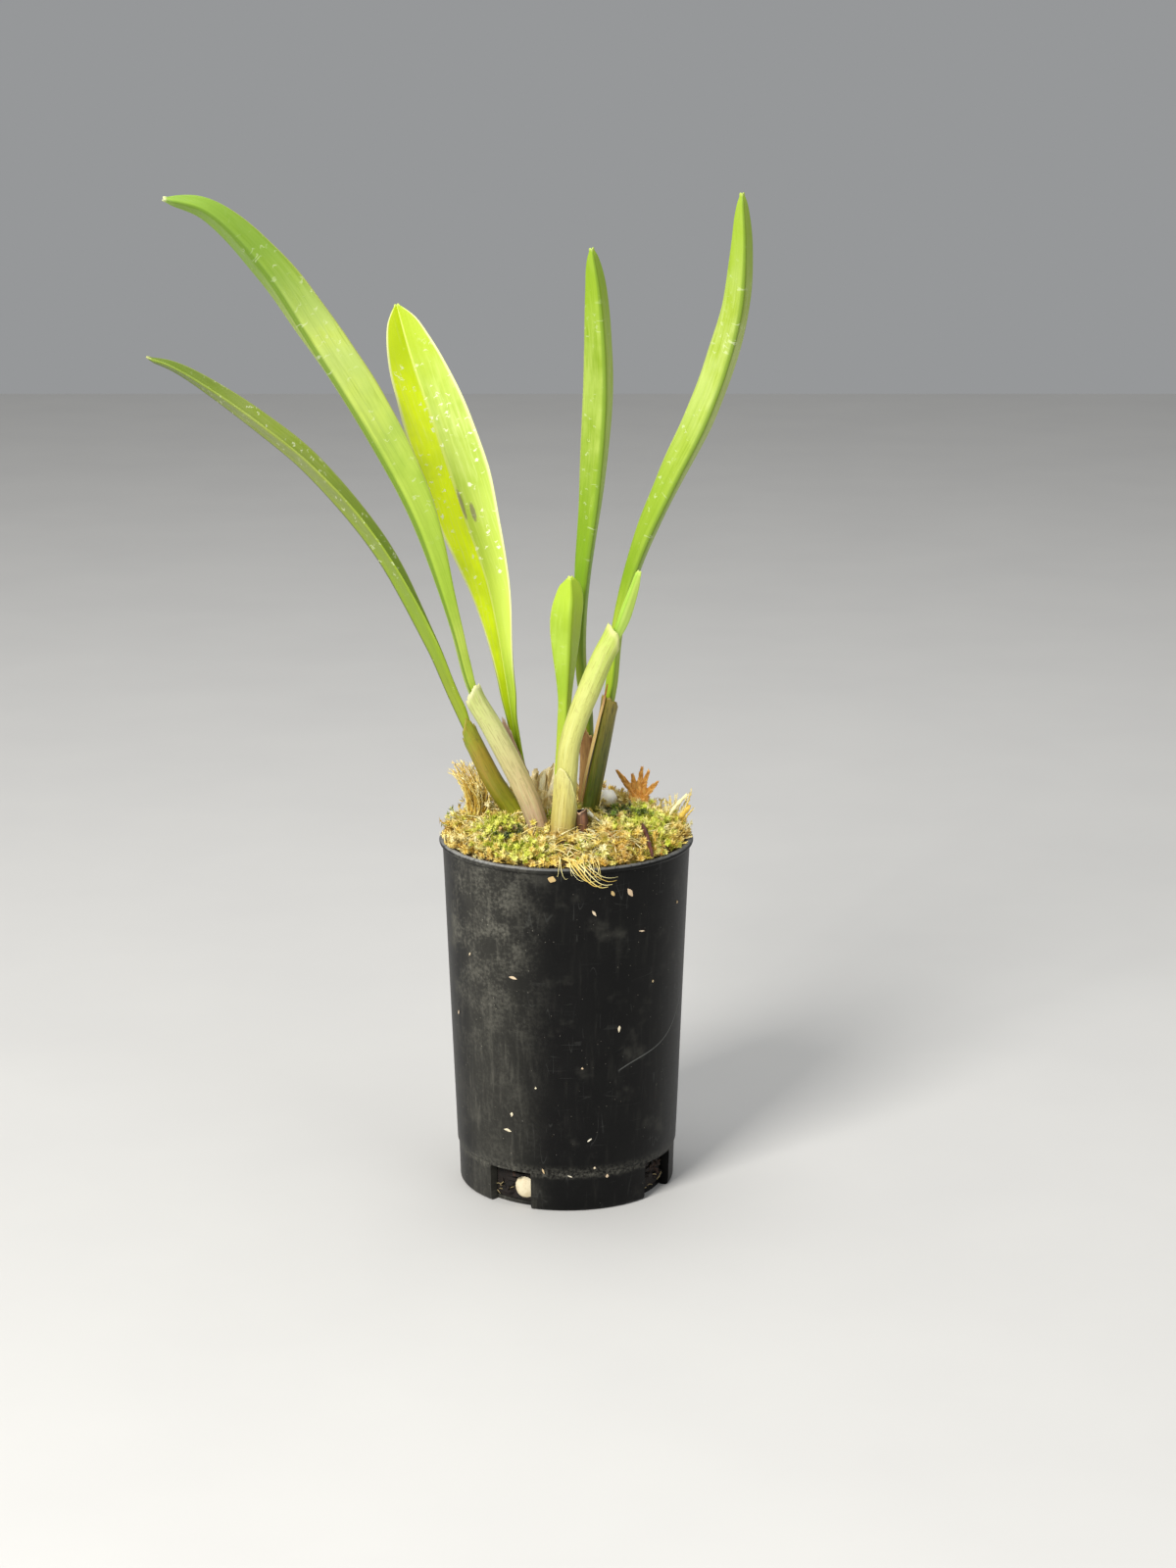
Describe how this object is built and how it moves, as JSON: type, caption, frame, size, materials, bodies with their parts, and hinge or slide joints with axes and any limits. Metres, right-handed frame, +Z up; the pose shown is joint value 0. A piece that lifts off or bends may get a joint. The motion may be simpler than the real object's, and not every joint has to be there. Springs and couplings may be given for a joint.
{
  "type": "potted masdevallia orchid",
  "caption": "Small orchid with long leathery leaves in papery sheaths, growing from a bed of golden and green moss in a round black nursery pot with drain notches.",
  "frame": {"origin": "centre of the flat underside of the pot", "axes": "+Z up along the pot's axis, -Y the front of the picture, +X to its right"},
  "size_m": [0.1636, 0.0716, 0.2756],
  "materials": {
    "pot": "thin black moulded plastic, dusty and lightly scratched",
    "growing_mix": "dark damp bark and old moss",
    "rhizome": "woody creeping stem and pale roots",
    "moss_golden": "golden-tan long-fibred moss",
    "moss_green_right": "live yellow-green moss",
    "moss_green_left": "live yellow-green moss",
    "moss_green_front": "live yellow-green moss",
    "dry_tuft": "dry tan moss tuft",
    "papery_clump": "cream dry papery scraps",
    "rim_sprigs": "pale dry moss sprigs",
    "white_chip": "white mineral chip",
    "root_tip": "white root tip",
    "old_bract": "brown dead bract",
    "twig": "dark red-brown twig",
    "fern_sprig": "orange-brown dry fern-like sprig",
    "rim_strands": "golden moss strands",
    "pebble": "smooth cream pebble",
    "leaf_1": "waxy green leaf, back of the blade with a keel",
    "leaf_2": "waxy dark green leaf",
    "leaf_3": "glossy yellow-green leaf with a pale margin",
    "leaf_4": "waxy green leaf, back of the blade with a keel",
    "leaf_5": "waxy green leaf, back of the blade with a keel",
    "leaf_6": "waxy young leaf",
    "leaf_7": "rolled pale young leaf",
    "sheath_1": "pale grey-green papery sleeve",
    "sheath_2": "olive translucent sleeve with brown tatters",
    "sheath_3": "pinkish-tan dry bract",
    "sheath_4": "cream-green ribbed sleeve",
    "sheath_4_outer": "dry short outer bract",
    "sheath_5": "olive-brown sleeve",
    "sheath_6": "brown pointed bract"
  },
  "bodies": {
    "root": {"pot": "pot", "growing_mix": "growing_mix", "rhizome": "rhizome", "moss_golden": "moss_golden", "moss_green_right": "moss_green_right", "moss_green_left": "moss_green_left", "moss_green_front": "moss_green_front", "dry_tuft": "dry_tuft", "papery_clump": "papery_clump", "rim_sprigs": "rim_sprigs", "white_chip": "white_chip", "root_tip": "root_tip", "old_bract": "old_bract", "twig": "twig", "fern_sprig": "fern_sprig", "rim_strands": "rim_strands", "pebble": "pebble", "leaf_1": "leaf_1", "leaf_2": "leaf_2", "leaf_3": "leaf_3", "leaf_4": "leaf_4", "leaf_5": "leaf_5", "leaf_6": "leaf_6", "leaf_7": "leaf_7", "sheath_1": "sheath_1", "sheath_2": "sheath_2", "sheath_3": "sheath_3", "sheath_4": "sheath_4", "sheath_4_outer": "sheath_4_outer", "sheath_5": "sheath_5", "sheath_6": "sheath_6"}
  },
  "joints": []
}
